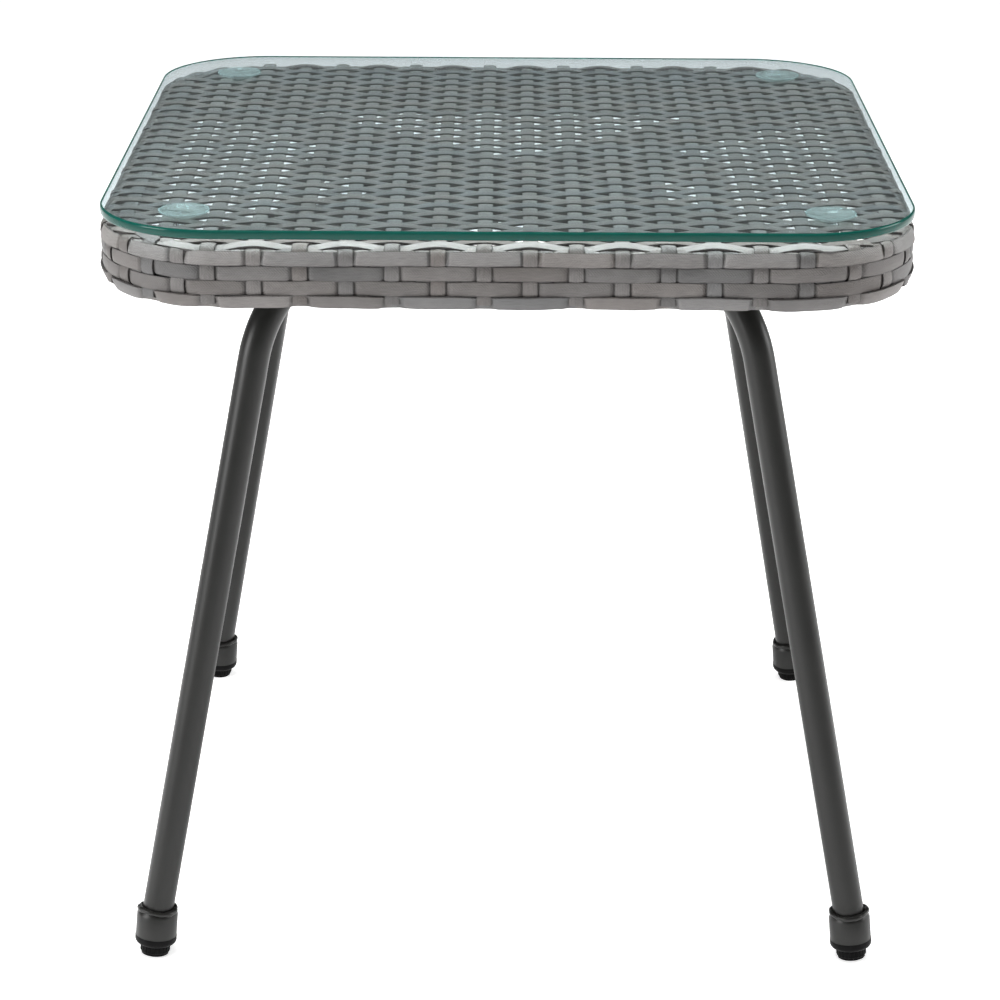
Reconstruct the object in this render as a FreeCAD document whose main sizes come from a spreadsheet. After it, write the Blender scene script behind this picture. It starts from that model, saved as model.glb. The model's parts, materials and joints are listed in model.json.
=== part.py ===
"""Square garden coffee table: a loose glass pane on a woven top, over a steel tube frame.

Millimetres. The origin is on the floor under the middle of the table, +Z is up, -Y is the front.
"""
import FreeCAD, Part

import os
import re

import Sketcher

Vector = FreeCAD.Vector
Rotation = FreeCAD.Rotation
Placement = FreeCAD.Placement

os.makedirs("parts", exist_ok=True)
doc = FreeCAD.newDocument("coffee_table")

# ---------------------------------------------------------------- driving dimensions
SIZES = (
    # glass pane
    ("top_height", 445, "floor to the upper face of the glass"),
    ("glass_side", 450, "side of the square pane"),
    ("glass_thickness", 5, "pane thickness"),
    ("glass_corner", 66, "corner radius of the pane"),
    ("glass_edge", 1.2, "polished round on the pane's edges"),
    # suction cups
    ("cup_standoff", 4, "weave to the underside of the glass"),
    ("cup_diameter", 28, "rim of a cup"),
    ("cup_spread", 177, "cup axis from the middle, along X and along Y"),
    ("cup_neck", 6.5, "neck that passes through the weave"),
    ("cup_button", 10, "button that holds a cup under the weave"),
    ("cup_hole_gap", 0.3, "radial room round a neck"),
    ("button_depth", 4.2, "how far the button reaches below the weave"),
    ("button_edge", 1.2, "bevel of the button"),
    ("cup_weave_gap", 0.3, "room between a cup and the weave"),
    ("cone_share", 0.55, "foot of the cup's cone, share of the rim radius"),
    ("cone_rise", 0.6, "foot of the cone above the weave"),
    ("lip_height", 0.6, "thickness of the cup's lip"),
    ("lip_width", 0.8, "width of the lip that touches the glass"),
    ("hollow_share", 0.5, "knee of the cup's hollow, share of the rim radius"),
    ("hollow_rim_depth", 1.6, "hollow's depth at its knee"),
    ("hollow_depth", 1.9, "hollow's depth at the middle"),
    # woven skin
    ("weave_side", 454, "outer size of the woven band"),
    ("weave_corner", 75, "outer corner radius of the woven band"),
    ("weave_thickness", 4, "thickness of the woven skin"),
    ("weave_depth", 33, "height of the whole woven part"),
    ("weave_roll", 3, "rounding where the top turns down"),
    # rail ring and diagonals
    ("rail_width", 12, "rail tube, horizontal size"),
    ("rail_depth", 25, "rail tube, vertical size"),
    ("rail_wall", 1.2, "wall of the rail tube"),
    ("rail_round", 3, "outer rounding of the rail tube"),
    ("diagonal_drop", 9, "underside of the weave to the top of the diagonals"),
    ("diagonal_side", 16, "side of the square diagonal tube"),
    ("diagonal_wall", 1.2, "wall of the diagonal tube"),
    ("diagonal_corner", 0.8, "inner corner rounding of the diagonal tube"),
    # legs
    ("leg_diameter", 18, "outer diameter of a leg tube"),
    ("leg_wall", 1.2, "wall of a leg tube"),
    ("leg_bend", 65, "bend radius on the tube's axis"),
    ("leg_splay", 14.6, "angle of the straight leg from upright"),
    ("arm_start", 15, "inner end of a leg's arm, from the middle"),
    ("cap_face", 2.5, "thickness of a tube end cap"),
    ("cap_plug", 10, "length of the end cap inside the tube"),
    ("cap_edge", 0.6, "bevel of the end cap"),
    ("plug_gap", 0.05, "radial room round plastic plugs"),
    # fasteners
    ("bolt_inner", 60, "inner bolt from the middle"),
    ("bolt_outer", 115, "outer bolt from the middle"),
    ("bolt_diameter", 6, "bolt shank"),
    ("bolt_length", 30, "bolt shank length"),
    ("bolt_head", 11, "bolt head diameter"),
    ("bolt_head_depth", 3.2, "bolt head height"),
    ("bolt_hex", 4, "hexagon socket across its corners"),
    ("hex_depth_share", 0.6, "depth of the hexagon socket, share of the head"),
    ("bolt_hole", 6.6, "clearance hole for a bolt"),
    ("saddle_length", 16, "saddle washer along the arm"),
    ("saddle_width", 14, "saddle washer across the arm"),
    ("saddle_depth", 3, "saddle washer under the arm"),
    ("nut_flange", 1, "flange of a rivet nut"),
    ("nut_flange_diameter", 12, "flange diameter of a rivet nut"),
    ("nut_body", 9, "body diameter of a rivet nut"),
    ("nut_body_length", 12, "body length of a rivet nut"),
    ("thread_gap", 0.05, "radial room in threads and running bores"),
    # feet, measured along the tilted foot axis
    ("foot_spread", 205.3, "foot from the middle, along X and along Y"),
    ("foot_tilt", 7, "foot axis from upright"),
    ("pad_diameter", 16, "slip pad"),
    ("pad_thickness", 1.2, "slip pad"),
    ("pad_pin", 4, "pin of the slip pad in the knob"),
    ("pad_pin_length", 2.6, "pin of the slip pad in the knob"),
    ("pad_gap", 0.2, "slip pad to knob"),
    ("knob_diameter", 17.6, "fluted knob"),
    ("knob_depth", 4.6, "fluted knob"),
    ("knob_gap", 0.3, "knob to insert when screwed home"),
    ("knob_bevel", 0.6, "bevel of the knob's lower edge"),
    ("flute_diameter", 1.4, "flutes round the knob"),
    ("stem_diameter", 8, "threaded stem of the knob"),
    ("stem_length", 15.4, "threaded stem of the knob"),
    ("stem_edge", 1, "bevel of the stem's end"),
    ("insert_flange", 5.2, "visible flange of the insert"),
    ("insert_flange_diameter", 24.4, "visible flange of the insert"),
    ("insert_round", 3, "rounding under the flange"),
    ("insert_plug", 10, "length of the insert inside the socket"),
    ("socket_diameter", 24, "foot socket"),
    ("socket_depth", 14.4, "foot socket"),
    ("socket_wall", 1.6, "side wall of the socket"),
    ("socket_roof", 3, "closed end of the socket"),
    ("bead_depth", 2.4, "height of the weld bead on the socket"),
    ("bead_overlap", 1, "how far the bead starts below the socket's top"),
    ("bead_lean", 0.8, "how far the bead steps in from the socket's side"),
    ("bead_low_share", 0.3, "height of that step, share of the bead"),
    ("bead_top_reach", 1.2, "top of the bead, out from the tube"),
    ("bead_inner_reach", 0.8, "inner line of the bead, out from the tube"),
)
FLUTE_COUNT = 22

sheet = doc.addObject("Spreadsheet::Sheet", "sizes")
sheet.Label = "sizes"
for row, (alias, number, note) in enumerate(SIZES, start=1):
    sheet.set(f"A{row}", note)
    sheet.set(f"B{row}", str(number))
    sheet.setAlias(f"B{row}", alias)
doc.recompute()


def bound(text):
    """Turn aliases in an expression into references to the sheet."""
    return re.sub(r"\b([a-z]+_[a-z_]+)\b", r"sizes.\1", text)


def value(text):
    """Number that an expression on the sheet gives now."""
    return float(sheet.evalExpression(bound(text)))


# ---------------------------------------------------------------- heights and places, worked out from the sizes
GLASS_UNDER = "(top_height - glass_thickness)"
WEAVE_TOP = f"({GLASS_UNDER} - cup_standoff)"
WEAVE_UNDER = f"({WEAVE_TOP} - weave_thickness)"
WEAVE_BOTTOM = f"({WEAVE_TOP} - weave_depth)"
RAIL_AXIS = f"({WEAVE_UNDER} - rail_depth / 2)"
RAIL_HALF = "(weave_side / 2 - weave_thickness - rail_width / 2)"
RAIL_CORNER = "(weave_corner - weave_thickness - rail_width / 2)"
DIAGONAL_TOP = f"({WEAVE_UNDER} - diagonal_drop)"
DIAGONAL_AXIS = f"({DIAGONAL_TOP} - diagonal_side / 2)"
DIAGONAL_BOTTOM = f"({DIAGONAL_TOP} - diagonal_side)"
ARM_AXIS = f"({DIAGONAL_BOTTOM} - nut_flange - leg_diameter / 2)"
# A diagonal ends where its two upright edges meet the rail's round inner face.
RAIL_INNER_RADIUS = f"({RAIL_CORNER} - rail_width / 2)"
CORNER_CENTRE = "((weave_side / 2 - weave_corner) * sqrt(2))"
DIAGONAL_REACH = (f"({CORNER_CENTRE} + sqrt({RAIL_INNER_RADIUS} * {RAIL_INNER_RADIUS}"
                  " - diagonal_side * diagonal_side / 4))")
# Foot stack, from the slip pad's lower face up along the foot axis.
KNOB_LOW = "(pad_thickness + pad_gap)"
KNOB_TOP = f"({KNOB_LOW} + knob_depth)"
INSERT_LOW = f"({KNOB_TOP} + knob_gap)"
SOCKET_LOW = f"({INSERT_LOW} + insert_flange)"
SOCKET_TOP = f"({SOCKET_LOW} + socket_depth)"
# Points of the leg in its own upright plane: x outwards from the middle, y up.
FOOT_X = "(foot_spread * sqrt(2))"
FOOT_Y = "(pad_diameter / 2 * sin(foot_tilt))"
SOCKET_X = f"({FOOT_X} - {SOCKET_TOP} * sin(foot_tilt))"
SOCKET_Y = f"({FOOT_Y} + {SOCKET_TOP} * cos(foot_tilt))"
KNEE_X = f"({SOCKET_X} - ({ARM_AXIS} - {SOCKET_Y}) * tan(leg_splay))"
KNEE_RUN = "(leg_bend * tan((90 - leg_splay) / 2))"

CORNERS = {"front_left": 225, "front_right": 315, "back_right": 45, "back_left": 135}
nodes = []


# ---------------------------------------------------------------- helpers for bodies and sketches
def new_body(label):
    """Add a body that becomes the node of this name."""
    body = doc.addObject("PartDesign::Body", label)
    body.Label = label
    nodes.append(body)
    return body


def new_sketch(body, name, role="XY_Plane", lift=None):
    """Add a sketch on one of the body's own origin planes, lifted along its normal."""
    plane = next(item for item in body.Origin.OriginFeatures if item.Role == role)
    sketch = body.newObject("Sketcher::SketchObject", f"{body.Name}_{name}")
    sketch.AttachmentSupport = (plane, [""])
    sketch.MapMode = "FlatFace"
    if lift:
        sketch.AttachmentOffset = Placement(Vector(0, 0, value(lift)), Rotation())
        sketch.setExpression("AttachmentOffset.Base.z", bound(lift))
    return sketch


def name_and_bind(sketch, index, text):
    """Name a size constraint and bind it to the sheet."""
    name = f"size_{index}"
    sketch.renameConstraint(index, name)
    sketch.setExpression(f"Constraints.{name}", bound(text))


def pin_point(sketch, geo, pos, x, y):
    """Hold a sketch point at a place given by two expressions."""
    for kind, text, axis in (("DistanceX", x, -2), ("DistanceY", y, -1)):
        if abs(value(text)) < 1e-9:
            sketch.addConstraint(Sketcher.Constraint("PointOnObject", geo, pos, axis))
        else:
            index = sketch.addConstraint(Sketcher.Constraint(kind, -1, 1, geo, pos, value(text)))
            name_and_bind(sketch, index, text)


def draw(sketch, points, closed=True):
    """Draw lines and arcs through points (x, y) or (x, y, arc centre x, arc centre y, radius).

    A point with an arc's figures starts that arc; it runs to the next point by the short way.
    """
    count = len(points) if closed else len(points) - 1
    ends = []
    for step in range(count):
        start, stop = points[step], points[(step + 1) % len(points)]
        here = Vector(value(start[0]), value(start[1]), 0)
        there = Vector(value(stop[0]), value(stop[1]), 0)
        if len(start) == 2:
            geo = sketch.addGeometry(Part.LineSegment(here, there), False)
            first, last = 1, 2
        else:
            centre = Vector(value(start[2]), value(start[3]), 0)
            outward = (here + there) * 0.5 - centre
            middle = centre + outward * ((here - centre).Length / outward.Length)
            geo = sketch.addGeometry(Part.Arc(here, middle, there), False)
            starts_here = (sketch.getPoint(geo, 1) - here).Length < 1e-6
            first, last = (1, 2) if starts_here else (2, 1)
            index = sketch.addConstraint(Sketcher.Constraint("Radius", geo, (here - centre).Length))
            name_and_bind(sketch, index, start[4])
        pin_point(sketch, geo, first, start[0], start[1])
        if ends:
            sketch.addConstraint(Sketcher.Constraint("Coincident", ends[-1][0], ends[-1][2], geo, first))
        ends.append((geo, first, last))
    if closed:
        sketch.addConstraint(Sketcher.Constraint("Coincident", ends[-1][0], ends[-1][2], ends[0][0], ends[0][1]))
    else:
        pin_point(sketch, ends[-1][0], ends[-1][2], points[-1][0], points[-1][1])


def draw_circle(sketch, x, y, radius):
    """Draw a circle whose centre and radius are expressions."""
    shape = Part.Circle(Vector(value(x), value(y), 0), Vector(0, 0, 1), value(radius))
    geo = sketch.addGeometry(shape, False)
    pin_point(sketch, geo, 3, x, y)
    index = sketch.addConstraint(Sketcher.Constraint("Radius", geo, value(radius)))
    name_and_bind(sketch, index, radius)


def draw_rounded(sketch, half_x, half_y, radius, mid_x="0", mid_y="0"):
    """Draw a rectangle with round corners about a middle point."""
    points = []
    for sx, sy in ((1, 1), (-1, 1), (-1, -1), (1, -1)):
        x_in = f"({mid_x} + {sx} * ({half_x} - {radius}))"
        y_in = f"({mid_y} + {sy} * ({half_y} - {radius}))"
        x_out = f"({mid_x} + {sx} * {half_x})"
        y_out = f"({mid_y} + {sy} * {half_y})"
        side, end = (x_out, y_in), (x_in, y_out)
        first, second = (side, end) if sx * sy > 0 else (end, side)
        points.append((*first, x_in, y_in, radius))
        points.append(second)
    draw(sketch, points)


def pad(body, sketch, length):
    """Pad a sketch upwards by a length."""
    feature = body.newObject("PartDesign::Pad", f"{body.Name}_pad")
    feature.Profile = sketch
    feature.setExpression("Length", bound(length))
    doc.recompute()
    return feature


def pocket_both_ways(body, sketch, length):
    """Cut a sketch's outline to both sides of its plane, and check that it cut."""
    before = body.Shape.Volume
    feature = body.newObject("PartDesign::Pocket", f"{body.Name}_pocket")
    feature.Profile = sketch
    feature.SideType = "Symmetric"
    feature.setExpression("Length", bound(length))
    doc.recompute()
    if body.Shape.Volume >= before:
        raise RuntimeError(f"{feature.Name} cuts nothing")
    return feature


def round_edges(body, feature, heights, radius):
    """Round the edges that lie flat at the given heights."""
    found = []
    for number, edge in enumerate(feature.Shape.Edges, start=1):
        box = edge.BoundBox
        if box.ZLength < 1e-6 and any(abs(box.ZMin - value(text)) < 1e-6 for text in heights):
            found.append(f"Edge{number}")
    fillet = body.newObject("PartDesign::Fillet", f"{body.Name}_round")
    fillet.Base = (feature, found)
    fillet.setExpression("Radius", bound(radius))
    doc.recompute()
    return fillet


def turned(label, points):
    """Make a body by turning a closed outline (radius, height) about its upright axis."""
    body = new_body(label)
    sketch = new_sketch(body, "outline", "XZ_Plane")
    draw(sketch, points)
    feature = body.newObject("PartDesign::Revolution", f"{body.Name}_turn")
    feature.Profile = sketch
    feature.ReferenceAxis = (sketch, ["V_Axis"])
    feature.Angle = 360
    doc.recompute()
    return body


def pipe(body, profile, path):
    """Sweep a profile along a path."""
    feature = body.newObject("PartDesign::AdditivePipe", f"{body.Name}_pipe")
    feature.Profile = profile
    feature.Spine = (path, [])
    doc.recompute()
    return feature


# ---------------------------------------------------------------- glass and cups
def make_glass():
    """Glass pane with polished edges."""
    body = new_body("glass_top")
    sketch = new_sketch(body, "outline", lift=GLASS_UNDER)
    draw_rounded(sketch, "(glass_side / 2)", "(glass_side / 2)", "glass_corner")
    feature = pad(body, sketch, "glass_thickness")
    round_edges(body, feature, (GLASS_UNDER, "top_height"), "glass_edge")


def make_cups():
    """Clear cups: hollow rim under the glass, neck through the weave, button below it."""
    rim = "(cup_diameter / 2)"
    neck = "(cup_neck / 2)"
    button = "(cup_button / 2)"
    for place, azimuth in CORNERS.items():
        body = turned(f"suction_cup_{place}", [
            ("0", f"({WEAVE_UNDER} - button_depth)"),
            (f"({button} - button_edge)", f"({WEAVE_UNDER} - button_depth)"),
            (button, f"({WEAVE_UNDER} - 3)"),
            (button, f"({WEAVE_UNDER} - cup_weave_gap)"),
            (neck, f"({WEAVE_UNDER} - cup_weave_gap)"),
            (neck, f"({WEAVE_TOP} + cup_weave_gap)"),
            (f"({rim} * cone_share)", f"({WEAVE_TOP} + cone_rise)"),
            (rim, f"({GLASS_UNDER} - lip_height)"),
            (rim, GLASS_UNDER),
            (f"({rim} - lip_width)", GLASS_UNDER),
            (f"({rim} * hollow_share)", f"({GLASS_UNDER} - hollow_rim_depth)"),
            ("0", f"({GLASS_UNDER} - hollow_depth)"),
        ])
        spread = value("cup_spread * sqrt(2)")
        turn = Rotation(Vector(0, 0, 1), azimuth)
        body.Placement = Placement(turn.multVec(Vector(spread, 0, 0)), turn)


# ---------------------------------------------------------------- woven skin
def make_weave():
    """Plain solids of the woven top and of the woven band round its edge."""
    half = "(weave_side / 2)"
    body = new_body("wicker_top")
    sketch = new_sketch(body, "outline", lift=WEAVE_UNDER)
    draw_rounded(sketch, half, half, "weave_corner")
    feature = pad(body, sketch, "weave_thickness")
    round_edges(body, feature, (WEAVE_TOP,), "weave_roll")
    holes = new_sketch(body, "holes", lift=WEAVE_TOP)
    for sx, sy in ((1, 1), (-1, 1), (-1, -1), (1, -1)):
        draw_circle(holes, f"({sx} * cup_spread)", f"({sy} * cup_spread)", "(cup_neck / 2 + cup_hole_gap)")
    pocket_both_ways(body, holes, "3 * weave_thickness")

    body = new_body("wicker_apron")
    sketch = new_sketch(body, "outline", lift=WEAVE_BOTTOM)
    draw_rounded(sketch, half, half, "weave_corner")
    inner = "(weave_side / 2 - weave_thickness)"
    draw_rounded(sketch, inner, inner, "(weave_corner - weave_thickness)")
    pad(body, sketch, "weave_depth - weave_thickness")


# ---------------------------------------------------------------- rail ring and diagonals
def make_rails():
    """Two bent halves of the rectangular tube ring that carries the weave."""
    near = f"({RAIL_HALF} - {RAIL_CORNER})"
    for label, turn in (("frame_rail_front", 0), ("frame_rail_back", 180)):
        body = new_body(label)
        path = new_sketch(body, "path", lift=RAIL_AXIS)
        draw(path, [
            (f"(-{RAIL_HALF})", "0"),
            (f"(-{RAIL_HALF})", f"(-{near})", f"(-{near})", f"(-{near})", RAIL_CORNER),
            (f"(-{near})", f"(-{RAIL_HALF})"),
            (near, f"(-{RAIL_HALF})", near, f"(-{near})", RAIL_CORNER),
            (RAIL_HALF, f"(-{near})"),
            (RAIL_HALF, "0"),
        ], closed=False)
        section = new_sketch(body, "section", "XZ_Plane")
        middle = f"(-{RAIL_HALF})"
        draw_rounded(section, "(rail_width / 2)", "(rail_depth / 2)", "rail_round", middle, RAIL_AXIS)
        draw_rounded(section, "(rail_width / 2 - rail_wall)", "(rail_depth / 2 - rail_wall)",
                     "(rail_round - rail_wall)", middle, RAIL_AXIS)
        pipe(body, section, path)
        body.Placement = Placement(Vector(0, 0, 0), Rotation(Vector(0, 0, 1), turn))


def make_diagonals():
    """One full cross tube and two halves that butt against its sides."""
    pieces = (
        ("diagonal_tube_long", 45, f"(-{DIAGONAL_REACH})"),
        ("diagonal_tube_short_front", 315, "(diagonal_side / 2)"),
        ("diagonal_tube_short_back", 135, "(diagonal_side / 2)"),
    )
    for label, azimuth, start in pieces:
        body = new_body(label)
        section = new_sketch(body, "section", "YZ_Plane", lift=start)
        half = "(diagonal_side / 2)"
        draw_rounded(section, half, half, "(diagonal_wall + diagonal_corner)", "0", DIAGONAL_AXIS)
        hollow = "(diagonal_side / 2 - diagonal_wall)"
        draw_rounded(section, hollow, hollow, "diagonal_corner", "0", DIAGONAL_AXIS)
        pad(body, section, f"{DIAGONAL_REACH} - {start}")
        holes = new_sketch(body, "holes", lift=DIAGONAL_BOTTOM)
        sides = (1, -1) if value(start) < 0 else (1,)
        for side in sides:
            for place in ("bolt_inner", "bolt_outer"):
                draw_circle(holes, f"({side} * {place})", "0", "(nut_body / 2)")
        pocket_both_ways(body, holes, "3 * diagonal_wall")
        body.Placement = Placement(Vector(0, 0, 0), Rotation(Vector(0, 0, 1), azimuth))


# ---------------------------------------------------------------- legs
def make_legs():
    """Bent leg tubes: an arm under a diagonal, a bend, and a splayed straight leg."""
    over = "leg_diameter"
    for place, azimuth in CORNERS.items():
        body = new_body(f"leg_{place}")
        path = new_sketch(body, "path", "XZ_Plane")
        draw(path, [
            ("arm_start", ARM_AXIS),
            (f"({KNEE_X} - {KNEE_RUN})", ARM_AXIS,
             f"({KNEE_X} - {KNEE_RUN})", f"({ARM_AXIS} - leg_bend)", "leg_bend"),
            (f"({KNEE_X} + {KNEE_RUN} * sin(leg_splay))", f"({ARM_AXIS} - {KNEE_RUN} * cos(leg_splay))"),
            (f"({SOCKET_X} + {over} * sin(leg_splay))", f"({SOCKET_Y} - {over} * cos(leg_splay))"),
        ], closed=False)
        section = new_sketch(body, "section", "YZ_Plane", lift="arm_start")
        draw_circle(section, "0", ARM_AXIS, "(leg_diameter / 2)")
        draw_circle(section, "0", ARM_AXIS, "(leg_diameter / 2 - leg_wall)")
        pipe(body, section, path)

        # The lower end is cut flush with the closed end of the tilted foot socket.
        cut = new_sketch(body, "end_cut", "XZ_Plane")
        reach = "(2 * leg_diameter)"
        along_x, along_y = f"({reach} * cos(foot_tilt))", f"({reach} * sin(foot_tilt))"
        down_x, down_y = f"({reach} * sin(foot_tilt))", f"({reach} * cos(foot_tilt))"
        draw(cut, [
            (f"({SOCKET_X} - {along_x})", f"({SOCKET_Y} - {along_y})"),
            (f"({SOCKET_X} + {along_x})", f"({SOCKET_Y} + {along_y})"),
            (f"({SOCKET_X} + {along_x} + {down_x})", f"({SOCKET_Y} + {along_y} - {down_y})"),
            (f"({SOCKET_X} - {along_x} + {down_x})", f"({SOCKET_Y} - {along_y} - {down_y})"),
        ])
        pocket_both_ways(body, cut, "3 * leg_diameter")

        holes = new_sketch(body, "bolt_holes", lift=ARM_AXIS)
        for distance in ("bolt_inner", "bolt_outer"):
            draw_circle(holes, distance, "0", "(bolt_hole / 2)")
        pocket_both_ways(body, holes, "2 * leg_diameter")
        body.Placement = Placement(Vector(0, 0, 0), Rotation(Vector(0, 0, 1), azimuth))


def make_end_caps():
    """Plastic caps in the inner ends of the arms."""
    plug = "(leg_diameter / 2 - leg_wall - plug_gap)"
    for place, azimuth in CORNERS.items():
        body = turned(f"leg_end_cap_{place}", [
            ("0", "(-cap_face)"),
            ("(leg_diameter / 2 - cap_edge)", "(-cap_face)"),
            ("(leg_diameter / 2)", "(-cap_face + cap_edge)"),
            ("(leg_diameter / 2)", "0"),
            (plug, "0"),
            (plug, "(cap_plug - cap_edge)"),
            (f"({plug} - cap_edge)", "cap_plug"),
            ("0", "cap_plug"),
        ])
        turn = Rotation(Vector(0, 0, 1), azimuth)
        spot = turn.multVec(Vector(value("arm_start"), 0, value(ARM_AXIS)))
        body.Placement = Placement(spot, turn.multiply(Rotation(Vector(0, 1, 0), 90)))


# ---------------------------------------------------------------- feet
def place_foot(body, azimuth):
    """Stand a piece of a foot on its tilted axis at its corner."""
    turn = Rotation(Vector(0, 0, 1), azimuth)
    lean = Rotation(Vector(0, 1, 0), -value("foot_tilt"))
    spot = turn.multVec(Vector(value(FOOT_X), 0, value(FOOT_Y)))
    body.Placement = Placement(spot, turn.multiply(lean))


def make_sockets():
    """Steel cups welded to the legs' ends, each with its weld bead."""
    outer = "(socket_diameter / 2)"
    inner = "(socket_diameter / 2 - socket_wall)"
    for place, azimuth in CORNERS.items():
        body = turned(f"foot_socket_{place}", [
            (inner, SOCKET_LOW),
            (outer, SOCKET_LOW),
            (outer, f"({SOCKET_TOP} - bead_overlap)"),
            (f"({outer} - bead_lean)", f"({SOCKET_TOP} + bead_low_share * bead_depth)"),
            ("(leg_diameter / 2 + bead_top_reach)", f"({SOCKET_TOP} + bead_depth)"),
            ("(leg_diameter / 2 + bead_inner_reach)", SOCKET_TOP),
            ("0", SOCKET_TOP),
            ("0", f"({SOCKET_TOP} - socket_roof)"),
            (inner, f"({SOCKET_TOP} - socket_roof)"),
        ])
        place_foot(body, azimuth)


def make_inserts():
    """Plastic inserts: a plug in the socket, a flange below it and the threaded bore."""
    bore = "(stem_diameter / 2 + thread_gap)"
    flange = "(insert_flange_diameter / 2)"
    plug = "(socket_diameter / 2 - socket_wall - plug_gap)"
    for place, azimuth in CORNERS.items():
        body = turned(f"foot_insert_{place}", [
            (bore, INSERT_LOW),
            (f"({flange} - insert_round)", INSERT_LOW,
             f"({flange} - insert_round)", f"({INSERT_LOW} + insert_round)", "insert_round"),
            (flange, f"({INSERT_LOW} + insert_round)"),
            (flange, SOCKET_LOW),
            (plug, SOCKET_LOW),
            (plug, f"({SOCKET_LOW} + insert_plug)"),
            (bore, f"({SOCKET_LOW} + insert_plug)"),
        ])
        place_foot(body, azimuth)


def make_knobs():
    """Fluted knobs with their threaded stems."""
    rim = "(knob_diameter / 2)"
    stem = "(stem_diameter / 2)"
    bore = "(pad_pin / 2 + thread_gap)"
    for place, azimuth in CORNERS.items():
        body = turned(f"levelling_knob_{place}", [
            (bore, KNOB_LOW),
            (f"({rim} - knob_bevel)", KNOB_LOW),
            (rim, f"({KNOB_LOW} + knob_bevel)"),
            (rim, KNOB_TOP),
            (stem, KNOB_TOP),
            (stem, f"({KNOB_TOP} + stem_length - stem_edge)"),
            (f"({stem} - stem_edge)", f"({KNOB_TOP} + stem_length)"),
            ("0", f"({KNOB_TOP} + stem_length)"),
            ("0", f"({KNOB_LOW} + pad_pin_length + pad_gap)"),
            (bore, f"({KNOB_LOW} + pad_pin_length + pad_gap)"),
        ])
        flute = new_sketch(body, "flute", lift=KNOB_TOP)
        draw_circle(flute, f"({rim} + flute_diameter / 5)", "0", "(flute_diameter / 2)")
        groove = pocket_both_ways(body, flute, "4 * knob_depth")
        ring = body.newObject("PartDesign::PolarPattern", f"{body.Name}_flutes")
        ring.Originals = [groove]
        ring.Axis = (flute, ["N_Axis"])
        ring.Angle = 360
        ring.Occurrences = FLUTE_COUNT
        body.Tip = ring
        doc.recompute()
        place_foot(body, azimuth)


def make_pads():
    """Slip pads, each on a pin in its knob."""
    rim = "(pad_diameter / 2)"
    pin = "(pad_pin / 2)"
    for place, azimuth in CORNERS.items():
        body = turned(f"slip_pad_{place}", [
            ("0", "0"),
            (rim, "0"),
            (rim, "pad_thickness"),
            (pin, "pad_thickness"),
            (pin, "(pad_thickness + pad_pin_length)"),
            ("0", "(pad_thickness + pad_pin_length)"),
        ])
        place_foot(body, azimuth)


# ---------------------------------------------------------------- fasteners, one node for each kind
def primitive(kind, name, base_z, turn=None, **sizes):
    """Add a Part primitive with its sizes bound to the sheet."""
    item = doc.addObject(f"Part::{kind}", name)
    for prop, text in sizes.items():
        item.setExpression(prop, bound(text))
    item.Placement = Placement(Vector(0, 0, value(base_z)), turn or Rotation())
    item.setExpression("Placement.Base.z", bound(base_z))
    return item


def join(kind, name, base, tool):
    """Fuse or cut two objects."""
    result = doc.addObject(f"Part::{kind}", name)
    result.Base = base
    result.Tool = tool
    return result


def make_bolt(name):
    """Button-head bolt that points up through an arm."""
    head_low = f"({ARM_AXIS} - leg_diameter / 2 - saddle_depth - bolt_head_depth)"
    head = primitive("Cylinder", f"{name}_head", head_low, Radius="bolt_head / 2", Height="bolt_head_depth")
    shank = primitive("Cylinder", f"{name}_shank", f"({head_low} + bolt_head_depth)",
                      Radius="bolt_diameter / 2", Height="bolt_length")
    socket = primitive("Prism", f"{name}_hex", head_low, Circumradius="bolt_hex / 2",
                       Height="bolt_head_depth * hex_depth_share")
    whole = join("Fuse", f"{name}_whole", head, shank)
    return join("Cut", name, whole, socket)


def make_saddle(name):
    """Saddle washer that fits under the round arm."""
    low = f"({ARM_AXIS} - leg_diameter / 2 - saddle_depth)"
    block = primitive("Box", f"{name}_block", low, Length="saddle_length", Width="saddle_width",
                      Height="2 * saddle_depth")
    block.setExpression("Placement.Base.x", bound("-saddle_length / 2"))
    block.setExpression("Placement.Base.y", bound("-saddle_width / 2"))
    tube = primitive("Cylinder", f"{name}_tube", ARM_AXIS, Rotation(Vector(0, 1, 0), 90),
                     Radius="leg_diameter / 2", Height="2 * saddle_length")
    tube.setExpression("Placement.Base.x", bound("-saddle_length"))
    hole = primitive("Cylinder", f"{name}_hole", low, Radius="bolt_hole / 2", Height="3 * saddle_depth")
    return join("Cut", name, join("Cut", f"{name}_seat", block, tube), hole)


def make_nut(name):
    """Rivet nut set in the lower wall of a diagonal tube."""
    flange = primitive("Cylinder", f"{name}_flange", f"({DIAGONAL_BOTTOM} - nut_flange)",
                       Radius="nut_flange_diameter / 2", Height="nut_flange")
    barrel = primitive("Cylinder", f"{name}_barrel", DIAGONAL_BOTTOM,
                       Radius="nut_body / 2", Height="nut_body_length")
    bore = primitive("Cylinder", f"{name}_bore", f"({DIAGONAL_BOTTOM} - nut_flange)",
                     Radius="bolt_diameter / 2 + thread_gap", Height="2 * nut_body_length")
    return join("Cut", name, join("Fuse", f"{name}_whole", flange, barrel), bore)


def make_fasteners():
    """Set one bolt, saddle and rivet nut at both holes of every arm."""
    for label, make_one in (("leg_bolts", make_bolt), ("bolt_saddles", make_saddle), ("rivet_nuts", make_nut)):
        members = []
        for place, azimuth in CORNERS.items():
            turn = Rotation(Vector(0, 0, 1), azimuth)
            for distance in ("bolt_inner", "bolt_outer"):
                solid = make_one(f"{label}_{place}_{distance}")
                solid.Placement = Placement(turn.multVec(Vector(value(distance), 0, 0)), turn)
                members.append(solid)
        group = doc.addObject("Part::Compound", label)
        group.Label = label
        group.Links = members
        nodes.append(group)
    doc.recompute()


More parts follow.
